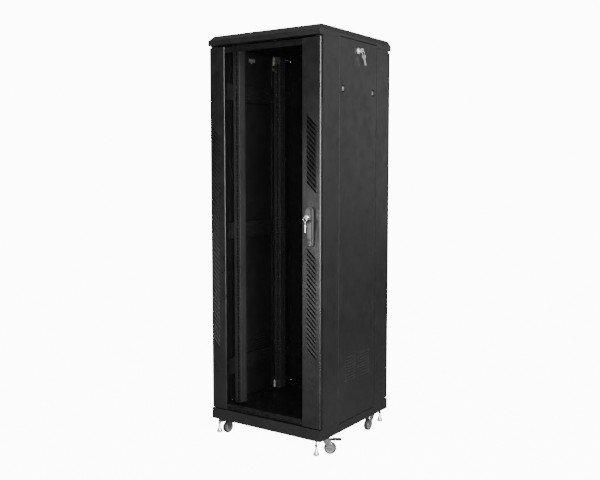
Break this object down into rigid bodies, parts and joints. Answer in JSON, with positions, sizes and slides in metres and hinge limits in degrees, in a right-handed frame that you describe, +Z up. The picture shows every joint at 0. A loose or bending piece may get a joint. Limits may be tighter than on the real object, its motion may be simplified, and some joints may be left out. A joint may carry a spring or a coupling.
{
  "type": "network server rack cabinet",
  "caption": "Free-standing 19-inch network rack cabinet with a glass front door, lift-off side panels, solid rear door, four casters and levelling feet.",
  "frame": {"origin": "on the floor, under the middle of the overall outline with the keys and brake pedals included; the cabinet's own plan centre is at x -0.010, y +0.010", "axes": "+X to the right as seen from the front, -Y out of the front door, +Z up"},
  "size_m": [0.6343, 0.6589, 1.837],
  "materials": {
    "powder_black": "fine-textured black powder coat",
    "tinted_glass": "smooth, grey-tinted",
    "handle_grey": "satin grey",
    "zinc": "bright zinc plate",
    "chrome": "polished",
    "tyre_rubber": "matt",
    "pedal_plastic": "moulded",
    "earth_sleeve": "green sleeve with a yellow stripe"
  },
  "bodies": {
    "root": {"base_frame": "powder_black", "roof": "powder_black", "roof_entry_cover": "powder_black", "post_front_left": "powder_black", "post_front_right": "powder_black", "post_rear_left": "powder_black", "post_rear_right": "powder_black", "depth_brace_low_left": "powder_black", "depth_brace_low_right": "powder_black", "depth_brace_middle_left": "powder_black", "depth_brace_middle_right": "powder_black", "depth_brace_top_left": "powder_black", "depth_brace_top_right": "powder_black", "mounting_rail_front_left": "powder_black", "mounting_rail_front_right": "powder_black", "mounting_rail_rear_left": "powder_black", "mounting_rail_rear_right": "powder_black", "rail_bolt_top_left": "zinc", "rail_bolt_top_right": "zinc", "rail_bolt_bottom_left": "zinc", "rail_bolt_bottom_right": "zinc", "earth_lead": "earth_sleeve"},
    "front_door": {"front_door_frame": "powder_black", "front_door_glass": "tinted_glass", "handle_plate": "handle_grey", "front_hinge_pin_top": "zinc", "front_hinge_pin_bottom": "zinc"},
    "handle_head": {"handle_head": "handle_grey"},
    "handle_lever": {"handle_lever": "handle_grey"},
    "front_key": {"front_key": "chrome"},
    "front_spare": {"front_key_ring": "chrome", "front_spare_key": "chrome"},
    "rear_door": {"rear_door": "powder_black", "rear_hinge_pin_top": "zinc", "rear_hinge_pin_bottom": "zinc"},
    "rear_lock": {"rear_door_lock": "zinc"},
    "right_panel": {"side_panel_right": "powder_black"},
    "left_panel": {"side_panel_left": "powder_black"},
    "right_lock": {"right_panel_lock": "chrome"},
    "left_lock": {"left_panel_lock": "chrome"},
    "right_spare": {"right_key_ring": "chrome", "right_spare_key": "chrome"},
    "latch_front_left": {"side_latch_front_left": "zinc"},
    "swivel_front_left": {"caster_fork_front_left": "zinc"},
    "wheel_front_left": {"caster_wheel_front_left": "tyre_rubber"},
    "foot_front_left": {"levelling_foot_front_left": "zinc"},
    "latch_front_right": {"side_latch_front_right": "zinc"},
    "swivel_front_right": {"caster_fork_front_right": "zinc"},
    "wheel_front_right": {"caster_wheel_front_right": "tyre_rubber"},
    "foot_front_right": {"levelling_foot_front_right": "zinc"},
    "latch_rear_left": {"side_latch_rear_left": "zinc"},
    "swivel_rear_left": {"caster_fork_rear_left": "zinc"},
    "wheel_rear_left": {"caster_wheel_rear_left": "tyre_rubber"},
    "foot_rear_left": {"levelling_foot_rear_left": "zinc"},
    "latch_rear_right": {"side_latch_rear_right": "zinc"},
    "swivel_rear_right": {"caster_fork_rear_right": "zinc"},
    "wheel_rear_right": {"caster_wheel_rear_right": "tyre_rubber"},
    "foot_rear_right": {"levelling_foot_rear_right": "zinc"},
    "brake_left": {"brake_pedal_front_left": "pedal_plastic"},
    "brake_right": {"brake_pedal_front_right": "pedal_plastic"}
  },
  "joints": [
    {"name": "front_door_swing", "type": "hinge", "parent": "root", "child": "front_door", "pos_m": [-0.302, -0.2775, 0.14], "axis": [0, 0, -1], "range_deg": [0, 180]},
    {"name": "handle_turn", "type": "hinge", "parent": "front_door", "child": "handle_head", "pos_m": [0.242, -0.2936, 1.054], "axis": [0, 1, 0], "range_deg": [0, 90]},
    {"name": "handle_lift", "type": "hinge", "parent": "handle_head", "child": "handle_lever", "pos_m": [0.242, -0.2936, 1.0305], "axis": [-1, 0, 0], "range_deg": [0, 30]},
    {"name": "front_key_turn", "type": "hinge", "parent": "handle_head", "child": "front_key", "pos_m": [0.242, -0.309, 1.044], "axis": [0, 1, 0], "range_deg": [0, 90]},
    {"name": "front_spare_swing", "type": "hinge", "parent": "front_key", "child": "front_spare", "pos_m": [0.242, -0.3275, 1.044], "axis": [-1, 0, 0], "range_deg": [0, 30]},
    {"name": "rear_door_swing", "type": "hinge", "parent": "root", "child": "rear_door", "pos_m": [-0.302, 0.3035, 0.14], "axis": [0, 0, 1], "range_deg": [0, 150]},
    {"name": "rear_lock_turn", "type": "hinge", "parent": "rear_door", "child": "rear_lock", "pos_m": [0.235, 0.31, 1.054], "axis": [0, -1, 0], "range_deg": [0, 90]},
    {"name": "right_panel_tilt", "type": "hinge", "parent": "root", "child": "right_panel", "pos_m": [0.289, 0.01, 0.1235], "axis": [0, 1, 0], "range_deg": [0, 15]},
    {"name": "left_panel_tilt", "type": "hinge", "parent": "root", "child": "left_panel", "pos_m": [-0.309, 0.01, 0.1235], "axis": [0, -1, 0], "range_deg": [0, 15]},
    {"name": "latch_front_left_slide", "type": "slide", "parent": "left_panel", "child": "latch_front_left", "axis": [0, -1, 0], "range_m": [0, 0.008]},
    {"name": "latch_rear_left_slide", "type": "slide", "parent": "left_panel", "child": "latch_rear_left", "axis": [0, 1, 0], "range_m": [0, 0.008]},
    {"name": "latch_front_right_slide", "type": "slide", "parent": "right_panel", "child": "latch_front_right", "axis": [0, -1, 0], "range_m": [0, 0.008]},
    {"name": "latch_rear_right_slide", "type": "slide", "parent": "right_panel", "child": "latch_rear_right", "axis": [0, 1, 0], "range_m": [0, 0.008]},
    {"name": "right_lock_turn", "type": "hinge", "parent": "right_panel", "child": "right_lock", "pos_m": [0.29, 0.017, 1.758], "axis": [-1, 0, 0], "range_deg": [0, 90]},
    {"name": "left_lock_turn", "type": "hinge", "parent": "left_panel", "child": "left_lock", "pos_m": [-0.31, 0.017, 1.758], "axis": [-1, 0, 0], "range_deg": [0, 90]},
    {"name": "right_spare_swing", "type": "hinge", "parent": "right_lock", "child": "right_spare", "pos_m": [0.311, 0.017, 1.758], "axis": [0, -1, 0], "range_deg": [0, 60]},
    {"name": "swivel_front_right_turn", "type": "hinge", "parent": "root", "child": "swivel_front_right", "pos_m": [0.254, -0.19, 0.085], "axis": [0, 0, 1], "continuous": true},
    {"name": "wheel_front_right_roll", "type": "hinge", "parent": "swivel_front_right", "child": "wheel_front_right", "pos_m": [0.27213, -0.17754, 0.0275], "axis": [-0.5664, 0.8241, 0], "continuous": true},
    {"name": "brake_right_press", "type": "hinge", "parent": "swivel_front_right", "child": "brake_right", "pos_m": [0.26389, -0.1832, 0.0655], "axis": [-0.5664, 0.8241, 0], "range_deg": [0, 12]},
    {"name": "swivel_front_left_turn", "type": "hinge", "parent": "root", "child": "swivel_front_left", "pos_m": [-0.274, -0.19, 0.085], "axis": [0, 0, 1], "continuous": true},
    {"name": "wheel_front_left_roll", "type": "hinge", "parent": "swivel_front_left", "child": "wheel_front_left", "pos_m": [-0.27782, -0.21167, 0.0275], "axis": [0.9848, -0.1736, 0], "continuous": true},
    {"name": "brake_left_press", "type": "hinge", "parent": "swivel_front_left", "child": "brake_left", "pos_m": [-0.27608, -0.20182, 0.0655], "axis": [0.9848, -0.1736, 0], "range_deg": [0, 12]},
    {"name": "swivel_rear_right_turn", "type": "hinge", "parent": "root", "child": "swivel_rear_right", "pos_m": [0.254, 0.214, 0.085], "axis": [0, 0, 1], "continuous": true},
    {"name": "wheel_rear_right_roll", "type": "hinge", "parent": "swivel_rear_right", "child": "wheel_rear_right", "pos_m": [0.25208, 0.19208, 0.0275], "axis": [0.9962, -0.0872, 0], "continuous": true},
    {"name": "swivel_rear_left_turn", "type": "hinge", "parent": "root", "child": "swivel_rear_left", "pos_m": [-0.274, 0.214, 0.085], "axis": [0, 0, 1], "continuous": true},
    {"name": "wheel_rear_left_roll", "type": "hinge", "parent": "swivel_rear_left", "child": "wheel_rear_left", "pos_m": [-0.285, 0.23305, 0.0275], "axis": [-0.866, -0.5, 0], "continuous": true},
    {"name": "foot_front_right_screw", "type": "slide", "parent": "root", "child": "foot_front_right", "axis": [0, 0, 1], "range_m": [-0.018, 0.012]},
    {"name": "foot_rear_right_screw", "type": "slide", "parent": "root", "child": "foot_rear_right", "axis": [0, 0, 1], "range_m": [-0.018, 0.012]},
    {"name": "foot_front_left_screw", "type": "slide", "parent": "root", "child": "foot_front_left", "axis": [0, 0, 1], "range_m": [-0.018, 0.012]},
    {"name": "foot_rear_left_screw", "type": "slide", "parent": "root", "child": "foot_rear_left", "axis": [0, 0, 1], "range_m": [-0.018, 0.012]}
  ],
  "couplings": [
    {"joint": "front_spare_swing", "follows": "handle_lift", "ratio": 1}
  ]
}
